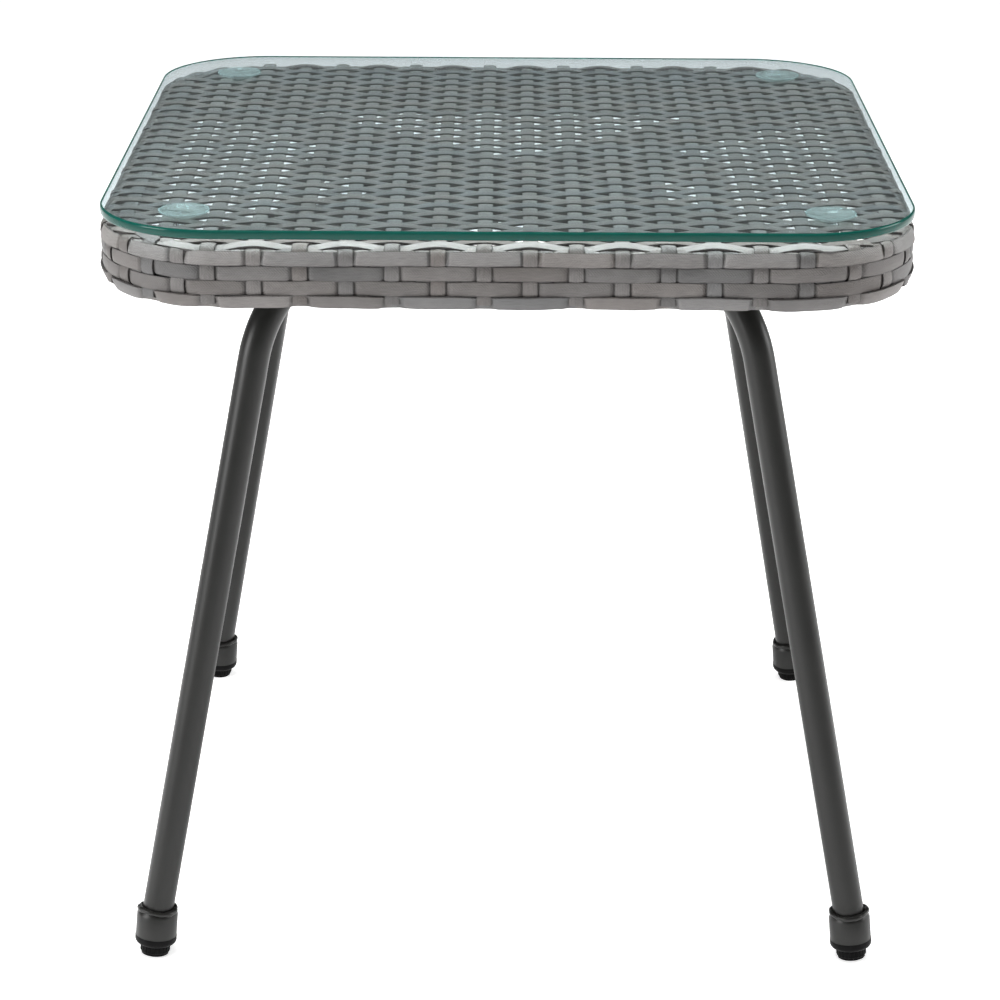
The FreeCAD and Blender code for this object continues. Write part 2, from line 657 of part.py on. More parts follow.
# ---------------------------------------------------------------- build, check and write
make_glass()
make_cups()
make_weave()
make_rails()
make_diagonals()
make_legs()
make_end_caps()
make_sockets()
make_inserts()
make_knobs()
make_pads()
make_fasteners()
doc.recompute()

for item in doc.Objects:
    if "Invalid" in item.State or "Error" in item.State:
        raise RuntimeError(f"{item.Name} failed: {item.State}")

for node in nodes:
    shape = node.Shape
    if shape.isNull() or not shape.isValid() or not shape.Solids:
        raise RuntimeError(f"{node.Label} has no valid solid")
    shape.exportStep(f"parts/{node.Label}.step")
    box = shape.BoundBox
    print(f"{node.Label}: {len(shape.Solids)} solids, {shape.Volume:.0f} mm3,"
          f" z {box.ZMin:.2f} to {box.ZMax:.2f}")
print(f"{len(nodes)} nodes")
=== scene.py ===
import json
import logging
import math
from dataclasses import dataclass, field
from enum import Enum
from typing import Any, Iterable, Sequence

import bpy
import numpy as np
from mathutils import Matrix, Vector


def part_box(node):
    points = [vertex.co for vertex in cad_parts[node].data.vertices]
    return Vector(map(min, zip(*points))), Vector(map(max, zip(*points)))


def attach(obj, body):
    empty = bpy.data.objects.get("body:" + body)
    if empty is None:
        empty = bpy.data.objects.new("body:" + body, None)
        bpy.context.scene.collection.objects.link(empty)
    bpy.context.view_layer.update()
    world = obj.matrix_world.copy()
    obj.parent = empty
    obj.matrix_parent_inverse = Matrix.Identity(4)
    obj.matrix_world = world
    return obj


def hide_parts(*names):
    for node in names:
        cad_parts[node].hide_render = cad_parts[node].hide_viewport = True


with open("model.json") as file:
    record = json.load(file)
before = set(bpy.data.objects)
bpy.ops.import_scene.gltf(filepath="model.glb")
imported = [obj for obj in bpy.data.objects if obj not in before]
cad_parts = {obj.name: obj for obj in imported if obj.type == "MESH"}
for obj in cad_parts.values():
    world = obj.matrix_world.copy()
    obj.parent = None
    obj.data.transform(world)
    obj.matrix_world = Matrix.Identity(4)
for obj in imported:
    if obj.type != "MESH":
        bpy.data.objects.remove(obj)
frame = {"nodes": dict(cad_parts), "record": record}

log = logging.getLogger("coffee_table")
MM = 0.001
STRAND_MAP = "strand"
TINT = "tint"
SHADE = "shade"
Colour = tuple[float, float, float]


class Corner(Enum):
    """The four corners of the table, by their signs along X and Y."""

    FRONT_LEFT = ("front_left", -1, -1)
    FRONT_RIGHT = ("front_right", 1, -1)
    BACK_RIGHT = ("back_right", 1, 1)
    BACK_LEFT = ("back_left", -1, 1)

    @property
    def label(self) -> str:
        """The corner's name as it stands in the node names."""
        return self.value[0]


class Turn(Enum):
    """Which rows of the woven band an upright strand shows in."""

    UPPER = (0, 2)
    LOWER = (1, 3)
    COVERED = ()


# ---- shader maths


@dataclass(frozen=True)
class Signal:
    """One output of a shader node, with the operators that the finishes use."""

    tree: Any
    socket: Any

    def _math(self, operation: str, left: Any, right: Any = None) -> "Signal":
        """Adds a Math node.

        Args:
            operation: the node's operation.
            left: first operand, a signal or a number.
            right: second operand, or None.

        Returns:
            The node's value.
        """
        node = self.tree.nodes.new("ShaderNodeMath")
        node.operation = operation
        for place, operand in enumerate((left, right)):
            if isinstance(operand, Signal):
                self.tree.links.new(operand.socket, node.inputs[place])
            elif operand is not None:
                node.inputs[place].default_value = operand
        return Signal(self.tree, node.outputs[0])

    def __add__(self, other: Any) -> "Signal":
        """self + other."""
        return self._math("ADD", self, other)

    def __radd__(self, other: Any) -> "Signal":
        """other + self."""
        return self._math("ADD", other, self)

    def __sub__(self, other: Any) -> "Signal":
        """self - other."""
        return self._math("SUBTRACT", self, other)

    def __rsub__(self, other: Any) -> "Signal":
        """other - self."""
        return self._math("SUBTRACT", other, self)

    def __mul__(self, other: Any) -> "Signal":
        """self * other."""
        return self._math("MULTIPLY", self, other)

    def sine(self) -> "Signal":
        """The sine of the value, in radians."""
        return self._math("SINE", self)

    def size(self) -> "Signal":
        """The value without its sign."""
        return self._math("ABSOLUTE", self)


class Recipe:
    """The node tree of one finish."""

    def __init__(self, name: str) -> None:
        """Starts an empty material.

        Args:
            name: the material's name.
        """
        self.material = bpy.data.materials.new(name)
        self.material.use_nodes = True
        self.tree = self.material.node_tree
        self.tree.nodes.clear()

    def node(self, kind: str, settings: dict[str, Any], inputs: dict[Any, Any], output: Any = 0) -> Signal:
        """Adds one node.

        Args:
            kind: the node's type, without its ShaderNode prefix.
            settings: attributes that are set first; "stops" fills a colour ramp.
            inputs: values or signals for the sockets, by name or number.
            output: the output that is returned, by name or number.

        Returns:
            The chosen output.
        """
        node = self.tree.nodes.new("ShaderNode" + kind)
        for key, value in settings.items():
            if key == "stops":
                self._fill_ramp(node.color_ramp, value)
            else:
                setattr(node, key, value)
        for key, value in inputs.items():
            if isinstance(value, Signal):
                self.tree.links.new(value.socket, node.inputs[key])
            else:
                node.inputs[key].default_value = value
        return Signal(self.tree, node.outputs[output])

    def _fill_ramp(self, ramp: Any, stops: Sequence[tuple[float, float]]) -> None:
        """Sets a ramp's stops.

        Args:
            ramp: the colour ramp.
            stops: position and grey level of each stop.
        """
        while len(ramp.elements) < len(stops):
            ramp.elements.new(0.5)
        for element, (place, level) in zip(ramp.elements, stops):
            element.position = place
            element.color = (level, level, level, 1.0)

    def blend(self, share: Any, first: Any, second: Any) -> Signal:
        """Mixes two colours.

        Args:
            share: how much of the second, a signal or a number.
            first: first colour.
            second: second colour.

        Returns:
            The mixed colour.
        """
        first = first if isinstance(first, Signal) else (*first, 1.0)
        second = second if isinstance(second, Signal) else (*second, 1.0)
        return self.node("Mix", {"data_type": "RGBA"}, {0: share, 6: first, 7: second}, 2)

    def noise(self, place: Signal, scale: float, detail: float = 2.0, rough: float = 0.5) -> Signal:
        """A noise value.

        Args:
            place: coordinates.
            scale: how fine it is.
            detail: octaves.
            rough: weight of the finer octaves.

        Returns:
            The noise, about 0.5 in the middle.
        """
        inputs = {"Vector": place, "Scale": scale, "Detail": detail, "Roughness": rough}
        return self.node("TexNoise", {}, inputs, "Fac")

    def object_place(self) -> Signal:
        """Object coordinates."""
        return self.node("TexCoord", {}, {}, "Object")

    def bump(self, height: Signal, strength: float, distance: float) -> Signal:
        """A bumped normal.

        Args:
            height: height signal.
            strength: strength of the effect.
            distance: depth in metres.

        Returns:
            The normal.
        """
        inputs = {"Height": height, "Strength": strength, "Distance": distance}
        return self.node("Bump", {}, inputs, "Normal")

    def close(self, shader: Signal) -> Any:
        """Joins a shader to the output.

        Args:
            shader: the finished shader.

        Returns:
            The material.
        """
        node = self.tree.nodes.new("ShaderNodeOutputMaterial")
        self.tree.links.new(shader.socket, node.inputs["Surface"])
        return self.material


# ---- finishes


@dataclass(frozen=True)
class StrandFinish:
    """Synthetic strand, embossed with fine slanting ribs, tinted strand by strand, with painted shade at its
    edges, in its rib grooves and beside crossings, and painted highlights where its shade attribute is
    raised.
    """

    name: str = "woven_strand"
    warm: Colour = (0.092, 0.079, 0.072)
    cool: Colour = (0.064, 0.067, 0.070)
    # dark: colour of the streaks, and of the painted shade at edges, rib grooves and crossings
    dark: Colour = (0.020, 0.018, 0.017)
    # pale: colour of paler tone and wear, and of the painted highlights
    pale: Colour = (0.46, 0.445, 0.435)
    rib: float = 1.55
    roughness: float = 0.47
    # where the painted shade along the strand's edges starts, across the strand, and how fast it deepens
    rim: float = 3.35
    rim_slope: float = 1.03333333
    stretch: tuple[float, float, float] = (0.12, 1.6, 1.0)
    streak_scale: float = 1.3
    patch_scale: float = 42.0
    streak_share: float = 0.42
    # how much painted shade darkens the troughs of the ribs
    rib_share: float = 0.15
    wear_share: float = 0.16

    def make(self) -> Any:
        """Builds the material.

        Returns:
            The material.
        """
        r = Recipe(self.name)
        place = r.node("UVMap", {"uv_map": STRAND_MAP}, {}, 0)
        split = r.node("SeparateXYZ", {}, {0: place}, 0)
        across = Signal(r.tree, split.socket.node.outputs[1])
        tint = r.node("Attribute", {"attribute_name": TINT}, {}, "Fac")
        shade = r.node("Attribute", {"attribute_name": SHADE}, {}, "Fac")
        slant = split + across.size()
        ribs = (slant * (2 * math.pi / self.rib)).sine() * 0.5 + 0.5
        stretched = r.node("Mapping", {}, {"Vector": place, "Scale": self.stretch}, 0)
        streak = r.noise(stretched, self.streak_scale, 3.0, 0.6)
        patch = r.noise(r.object_place(), self.patch_scale)
        body = r.blend(tint, self.warm, self.cool)
        # above 0 the shade attribute pales the strand (tone and painted highlights), below 0 it paints shade
        body = r.blend(shade, body, self.pale)
        body = r.blend(shade * -1.0, body, self.dark)
        low = r.node("ValToRGB", {"stops": ((0.30, 1.0), (0.62, 0.0))}, {0: streak}, 0)
        streaked = r.blend(low * self.streak_share, body, self.dark)
        # painted shade: the troughs of the embossed ribs are darkened
        groove_shaded = r.blend((1.0 - ribs) * self.rib_share, streaked, self.dark)
        worn = r.blend(patch * self.wear_share, groove_shaded, self.pale)
        # painted shade: the strand darkens towards its edges, standing in for the shadow lines where strands
        # meet
        edge_shaded = r.blend((across.size() - self.rim) * self.rim_slope, worn, self.dark)
        height = ribs * 0.7 + streak * 0.3
        surface = {
            "Base Color": edge_shaded,
            "Roughness": patch * 0.16 + (self.roughness - 0.08) + ribs * 0.05,
            "Normal": r.bump(height, 0.4, 0.0004),
            "Specular IOR Level": 0.36,
        }
        return r.close(r.node("BsdfPrincipled", {}, surface, 0))


@dataclass(frozen=True)
class CoatFinish:
    """Powder coat with a fine grain."""

    name: str
    body: Colour = (0.0105, 0.0105, 0.0098)
    dust: Colour = (0.024, 0.024, 0.022)
    grain: float = 1500.0
    cloud_scale: float = 28.0
    roughness: float = 0.36

    def make(self) -> Any:
        """Builds the material.

        Returns:
            The material.
        """
        r = Recipe(self.name)
        place = r.object_place()
        fine = r.noise(place, self.grain, 2.0, 0.6)
        cloud = r.noise(place, self.cloud_scale, 3.0, 0.55)
        share = fine * 0.35 + cloud * 0.45 - 0.18
        surface = {
            "Base Color": r.blend(share, self.body, self.dust),
            "Roughness": self.roughness - 0.06 + cloud * 0.14,
            "Normal": r.bump(fine, 0.22, 0.00012),
            "Specular IOR Level": 0.30,
        }
        return r.close(r.node("BsdfPrincipled", {}, surface, 0))


@dataclass(frozen=True)
class MouldedFinish:
    """Black moulded plastic, a little scuffed."""

    name: str
    body: Colour = (0.0025, 0.0025, 0.0026)
    scuff: Colour = (0.010, 0.010, 0.0104)
    roughness: float = 0.45
    grain: float = 2200.0
    scuff_scale: float = 160.0

    def make(self) -> Any:
        """Builds the material.

        Returns:
            The material.
        """
        r = Recipe(self.name)
        place = r.object_place()
        fine = r.noise(place, self.grain)
        scuffs = r.noise(place, self.scuff_scale, 4.0, 0.65)
        marks = r.node("ValToRGB", {"stops": ((0.52, 0.0), (0.72, 1.0))}, {0: scuffs}, 0)
        surface = {
            "Base Color": r.blend(marks * 0.6, self.body, self.scuff),
            "Roughness": self.roughness + marks * 0.12,
            "Normal": r.bump(fine, 0.18, 0.00008),
            "Specular IOR Level": 0.07,
        }
        return r.close(r.node("BsdfPrincipled", {}, surface, 0))


@dataclass(frozen=True)
class SteelFinish:
    """Small steel parts, oxide black or zinc."""

    name: str
    body: Colour
    stain: Colour
    metallic: float
    roughness: float
    grain: float = 2600.0
    cloud_scale: float = 260.0

    def make(self) -> Any:
        """Builds the material.

        Returns:
            The material.
        """
        r = Recipe(self.name)
        place = r.object_place()
        cloud = r.noise(place, self.cloud_scale, 3.0, 0.6)
        fine = r.noise(place, self.grain)
        surface = {
            "Base Color": r.blend(cloud * 0.7, self.body, self.stain),
            "Metallic": self.metallic,
            "Roughness": self.roughness + cloud * 0.2,
            "Normal": r.bump(fine, 0.15, 0.00006),
        }
        return r.close(r.node("BsdfPrincipled", {}, surface, 0))


@dataclass(frozen=True)
class PaneFinish:
    """Clear float glass: the faces, or the polished green edge."""

    name: str
    tint: Colour
    roughness: float
    ior: float = 1.52
    transmission: float = 1.0
    specular: float = 0.5
    film_scale: float = 9.0
    grain: float = 420.0

    def make(self) -> Any:
        """Builds the material, which lets shadow rays pass.

        Returns:
            The material.
        """
        r = Recipe(self.name)
        place = r.object_place()
        film = r.noise(place, self.film_scale, 3.0, 0.6)
        grain = r.noise(place, self.grain)
        body = r.blend(film * 0.25, self.tint, tuple(0.94 * c for c in self.tint))
        surface = {
            "Base Color": body,
            "Roughness": self.roughness + grain * self.roughness * 0.5,
            "IOR": self.ior,
            "Transmission Weight": self.transmission,
            "Specular IOR Level": self.specular,
        }
        glass = r.node("BsdfPrincipled", {}, surface, 0)
        clear = r.node("BsdfTransparent", {}, {"Color": (0.93, 0.97, 0.955, 1.0)}, 0)
        shadow = r.node("LightPath", {}, {}, "Is Shadow Ray")
        return r.close(r.node("MixShader", {}, {0: shadow, 1: glass, 2: clear}, 0))


@dataclass(frozen=True)
class PaperFinish:
    """Pale studio floor."""

    body: Colour = (0.93, 0.93, 0.93)
    glow: float = 0.70

    def make(self) -> Any:
        """Builds the material.

        Returns:
            The material.
        """
        r = Recipe("studio_floor")
        cloud = r.noise(r.object_place(), 3.0, 2.0, 0.5)
        surface = {
            "Base Color": r.blend(cloud * 0.1, self.body, (0.91, 0.91, 0.91)),
            "Roughness": 0.8,
            "Emission Color": (1.0, 1.0, 1.0, 1.0),
            "Emission Strength": self.glow,
        }
        return r.close(r.node("BsdfPrincipled", {}, surface, 0))


@dataclass
class Finishes:
    """Every finish of the table, made once and found by its name."""

    made: dict[str, Any] = field(default_factory=dict)

    def mix(self) -> "Finishes":
        """Makes the materials.

        Returns:
            The same object.
        """
        recipes = (
            StrandFinish(),
            CoatFinish("frame_paint", (0.014, 0.014, 0.0135), (0.026, 0.026, 0.025)),
            CoatFinish("leg_paint"),
            MouldedFinish("black_plastic"),
            MouldedFinish("knob_plastic", (0.0018, 0.0018, 0.0019)),
            SteelFinish("dark_steel", (0.05, 0.05, 0.05), (0.10, 0.095, 0.09), 0.9, 0.38),
            SteelFinish("plain_steel", (0.62, 0.61, 0.58), (0.44, 0.43, 0.40), 1.0, 0.3),
            PaneFinish("clear_glass", (0.85, 0.955, 0.985), 0.0),
            PaneFinish("glass_edge", (0.004, 0.072, 0.056), 0.10, 1.52, 0.25, 0.14),
            PaneFinish("clear_cup", (0.68, 0.77, 0.77), 0.14, 1.45, 0.92),
        )
        for recipe in recipes:
            self.made[recipe.name] = recipe.make()
        log.info("finishes mixed")
        return self


# ---- workshop


class Workshop:
    """Small jobs that every sub-assembly needs."""

    slots: dict[str, str] = {row["node"]: row["material_slot"] for row in frame["record"]["subparts"]}
    bodies: dict[str, str] = {
        node: body for body, nodes in frame["record"]["behaviour"]["bodies"].items() for node in nodes
    }

    @staticmethod
    def only(piece: Any) -> None:
        """Selects one piece and nothing else.

        Args:
            piece: the object.
        """
        bpy.ops.object.select_all(action="DESELECT")
        piece.select_set(True)
        bpy.context.view_layer.objects.active = piece

    @classmethod
    def apply(cls, piece: Any, kind: str, **settings: Any) -> None:
        """Adds a modifier and applies it.

        Args:
            piece: the object.
            kind: the modifier's type.
            settings: its settings.
        """
        cls.only(piece)
        modifier = piece.modifiers.new(kind.lower(), kind)
        for key, value in settings.items():
            setattr(modifier, key, value)
        bpy.ops.object.modifier_apply(modifier=modifier.name)

    @classmethod
    def smooth(cls, piece: Any, degrees: float = 35.0) -> None:
        """Shades a piece smooth up to an angle.

        Args:
            piece: the object.
            degrees: sharpest angle that is still smooth.
        """
        cls.only(piece)
        bpy.ops.object.shade_smooth_by_angle(angle=math.radians(degrees))

    @classmethod
    def settle(cls, piece: Any) -> None:
        """Moves a piece's place, turn and scale into its mesh.

        Args:
            piece: the object.
        """
        cls.only(piece)
        bpy.ops.object.transform_apply(location=True, rotation=True, scale=True)

    @classmethod
    def join(cls, pieces: Sequence[Any], name: str) -> Any:
        """Joins pieces into one.

        Args:
            pieces: the objects.
            name: name of the joined piece.

        Returns:
            The joined object.
        """
        bpy.ops.object.select_all(action="DESELECT")
        for piece in pieces:
            piece.select_set(True)
        bpy.context.view_layer.objects.active = pieces[0]
        if len(pieces) > 1:
            bpy.ops.object.join()
        pieces[0].name = name
        pieces[0].data.name = name
        return pieces[0]

    @classmethod
    def place(cls, piece: Any, body: str, slot: str, material: Any, nodes: Iterable[str] = ()) -> None:
        """Dresses a finished piece and hangs it on its body.

        Args:
            piece: the object.
            body: the body that it rides on.
            slot: the record's slot; not used.
            material: its material, or None when the piece has its own.
            nodes: CAD nodes that it stands for.
        """
        if material is not None:
            piece.data.materials.clear()
            piece.data.materials.append(material)
        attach(piece, body)
        if nodes:
            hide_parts(*nodes)
        log.info("%s: %d faces on %s", piece.name, len(piece.data.polygons), body)

    @classmethod
    def refine(cls, node: str, name: str, finishes: Finishes, degrees: float = 35.0) -> None:
        """Shows a smooth copy of a CAD node, its triangles merged, in its place.

        Args:
            node: the CAD node.
            name: name of the copy.
            finishes: where its slot's material comes from.
            degrees: sharpest smooth angle.
        """
        mesh = frame["nodes"][node].data.copy()
        mesh.name = name
        piece = bpy.data.objects.new(name, mesh)
        bpy.context.scene.collection.objects.link(piece)
        cls.only(piece)
        bpy.ops.object.mode_set(mode="EDIT")
        bpy.ops.mesh.select_all(action="SELECT")
        bpy.ops.mesh.remove_doubles(threshold=0.000005)
        bpy.ops.mesh.customdata_custom_splitnormals_clear()
        bpy.ops.object.mode_set(mode="OBJECT")
        cls.smooth(piece, degrees)
        slot = cls.slots[node]
        cls.place(piece, cls.bodies[node], slot, finishes.made[slot], (node,))


def unit(rows: np.ndarray) -> np.ndarray:
    """Scales each row to length 1.

    Args:
        rows: vectors, one in each row.

    Returns:
        Unit vectors.
    """
    return rows / np.maximum(np.linalg.norm(rows, axis=-1, keepdims=True), 1e-12)


def flowing(knots: np.ndarray, step: float) -> np.ndarray:
    """A smooth line through knots.

    Args:
        knots: points, with any further columns carried along.
        step: distance between samples.

    Returns:
        Sampled rows.
    """
    padded = np.vstack([2 * knots[0] - knots[1], knots, 2 * knots[-1] - knots[-2]])
    rows = []
    for before, start, stop, after in zip(padded, padded[1:], padded[2:], padded[3:]):
        count = max(1, int(round(np.linalg.norm((stop - start)[:3]) / step)))
        for share in np.arange(count) / count:
            first = 2 * start + (stop - before) * share
            second = (2 * before - 5 * start + 4 * stop - after) * share**2
            third = (3 * start - before - 3 * stop + after) * share**3
            rows.append(0.5 * (first + second + third))
    rows.append(knots[-1])
    return np.array(rows)


def fading(distance: float, reach: float) -> float:
    """Falls smoothly from 1 at no distance to 0 at the reach.

    Args:
        distance: the distance.
        reach: where it ends.

    Returns:
        The share.
    """
    return 0.5 + 0.5 * math.cos(math.pi * min(distance / reach, 1.0))


# ---- strands


@dataclass
class Loom:
    """Lays flat strands along lines and joins them into one piece."""

    name: str
    width: float = 8.1
    thickness: float = 1.25
    crown: float = 0.38
    offset: float = 977.0
    ribs: int = 5
    strands: list[Any] = field(default_factory=list)
    blanks: dict[int, Any] = field(default_factory=dict)

    def blank(self, count: int) -> Any:
        """A flat grid with a given number of stations along it.

        Args:
            count: stations along the strand.

        Returns:
            The grid's mesh.
        """
        if count not in self.blanks:
            bpy.ops.object.select_all(action="DESELECT")
            bpy.ops.mesh.primitive_grid_add(x_subdivisions=count - 1, y_subdivisions=self.ribs - 1, size=1)
            grid = bpy.context.object
            self.blanks[count] = grid.data.copy()
            bpy.data.objects.remove(grid)
        return self.blanks[count]

    def lay(self, line: np.ndarray, up: np.ndarray, tint: Any, shade: Any, width: Any = None) -> None:
        """Lays one strand.

        Args:
            line: points of its middle line, in millimetres.
            up: outward directions at the points.
            tint: from warm 0 to cool 1, one number or one for each point.
            shade: how pale it is, or how dark below 0, in the same way; it carries random tone, painted
                highlights and painted shade.
            width: its width, in the same way, or None for the usual one.
        """
        stations = np.ones(len(line))
        half = stations * (self.width if width is None else width) / 2
        tint = stations * tint
        shade = stations * shade
        along = unit(np.gradient(line, axis=0))
        across = unit(np.cross(up, along))
        normal = unit(np.cross(along, across))
        mesh = self.blank(len(line)).copy()
        flat = np.zeros(len(mesh.vertices) * 3)
        mesh.vertices.foreach_get("co", flat)
        flat = flat.reshape(-1, 3)
        station = np.rint((flat[:, 0] + 0.5) * (len(line) - 1)).astype(int)
        rib = (flat[:, 1] + 0.5) * 2 - 1
        lift = self.crown * (1 - rib**2) - self.crown / 2
        spots = line[station] + across[station] * (rib * half[station])[:, None]
        spots += normal[station] * lift[:, None]
        mesh.vertices.foreach_set("co", (spots * MM).ravel())
        walked = np.concatenate([[0.0], np.cumsum(np.linalg.norm(np.diff(line, axis=0), axis=1))])
        loops = np.zeros(len(mesh.loops), int)
        mesh.loops.foreach_get("vertex_index", loops)
        while mesh.uv_layers:
            mesh.uv_layers.remove(mesh.uv_layers[0])
        layer = mesh.uv_layers.new(name=STRAND_MAP)
        start = self.offset * float(tint[0])
        pairs = np.stack([walked[station[loops]] + start, rib[loops] * half[station[loops]]], axis=1)
        layer.data.foreach_set("uv", pairs.ravel())
        for name, values in ((TINT, tint), (SHADE, shade)):
            attribute = mesh.attributes.new(name, "FLOAT", "POINT")
            attribute.data.foreach_set("value", values[station])
        mesh.update()
        strand = bpy.data.objects.new(self.name, mesh)
        bpy.context.scene.collection.objects.link(strand)
        self.strands.append(strand)

    def bind(self) -> Any:
        """Joins the strands and gives them their thickness.

        Returns:
            The finished piece.
        """
        piece = Workshop.join(self.strands, self.name)
        Workshop.apply(piece, "SOLIDIFY", thickness=self.thickness * MM, offset=0.0)
        Workshop.smooth(piece, 50.0)
        for mesh in self.blanks.values():
            bpy.data.meshes.remove(mesh)
        return piece


@dataclass
class Outline:
    """The closed line round the rail on which the upright strands stand."""

    half: float = 223.65
    radius: float = 71.65

    @property
    def straight(self) -> float:
        """Half of a side's straight run."""
        return self.half - self.radius

    @property
    def quarter(self) -> float:
        """Length of one corner's arc."""
        return self.radius * math.pi / 2

    @property
    def length(self) -> float:
        """Length of the whole line."""
        return 8 * self.straight + 4 * self.quarter

    def spot(self, place: float) -> tuple[np.ndarray, np.ndarray]:
        """Point and outward direction at a distance along the line.

        Args:
            place: distance from the middle of the front, anticlockwise from above.

        Returns:
            The point and the outward direction.
        """
        side = 2 * self.straight + self.quarter
        turns, rest = divmod((place + self.straight) % self.length, side)
        if rest <= 2 * self.straight:
            point = np.array([rest - self.straight, -self.half, 0.0])
            out = np.array([0.0, -1.0, 0.0])
        else:
            angle = (rest - 2 * self.straight) / self.radius
            out = np.array([math.sin(angle), -math.cos(angle), 0.0])
            point = np.array([self.straight, -self.straight, 0.0]) + self.radius * out
        turn = np.array(Matrix.Rotation(turns * math.pi / 2, 3, "Z"))
        return turn @ point, turn @ out

    def on_face(self, front: bool, across: float) -> float:
        """Place of an X on the front, or on the back.

        Args:
            front: the front, else the back.
            across: the X.

        Returns:
            Distance along the line.
        """
        return across if front else 4 * self.straight + 2 * self.quarter - across

    def on_flank(self, right: bool, across: float) -> float:
        """Place of a Y on the right side, or on the left.

        Args:
            right: the right side, else the left.
            across: the Y.

        Returns:
            Distance along the line.
        """
        if right:
            return 2 * self.straight + self.quarter + across
        return 6 * self.straight + 3 * self.quarter - across

    def on_corner(self, front: bool, right: bool, degrees: float) -> float:
        """Place on a corner's arc.

        Args:
            front: a front corner, else a back one.
            right: a right corner, else a left one.
            degrees: angle from the front or back face's end of the arc.

        Returns:
            Distance along the line.
        """
        number = {(True, True): 0, (False, True): 1, (False, False): 2, (True, False): 3}[front, right]
        turned = degrees if front == right else 90 - degrees
        side = 2 * self.straight + self.quarter
        return self.straight + number * side + self.radius * math.radians(turned)

    def apart(self, first: float, second: float) -> float:
        """Distance between two places, the shorter way round.

        Args:
            first: a place.
            second: another place.

        Returns:
            The distance.
        """
        return abs((first - second + self.length / 2) % self.length - self.length / 2)


@dataclass
class Upright:
    """One strand end that runs down the rail under or over the rings."""

    place: float
    turn: Turn


# angles of the outer strands' ends on the corner arcs, in degrees from the front or back face's end
WARP_ANGLES = {7: 28.7, 8: 48.0, -8: 20.0, -9: 35.0}
RIGHT_WEFT_ANGLES = {18: 86.4, 19: 80.0, 20: 73.5, 21: 67.0, 22: 60.7, 23: 54.3, 24: 41.7, 25: 35.3}
LEFT_WEFT_ANGLES = {18: 86.4, 19: 82.0, 20: 76.5, 21: 71.0, 22: 65.0, 23: 57.5, 24: 50.0, 25: 42.5}
# bends over the rail's edge: distance outward, rise and lean of each knot
INNER_BEND = ((-4.0, 0.0, 0.15), (-1.6, -0.5, 0.45), (-0.25, -1.9, 0.8), (0.0, -4.0, 1.0))
OUTER_BEND = ((-4.0, 0.0, 0.1), (-1.5, 0.15, 0.25), (0.6, -0.75, 0.6), (1.4, -2.6, 0.95))
# bend under the rail: distance outward, rise, and the outward and downward shares of the direction
UNDER_BEND = ((-2.6, -2.4, 1.0, 1.6), (-6.0, -1.5, 0.0, 1.0), (-10.5, -1.3, 0.0, 1.0))


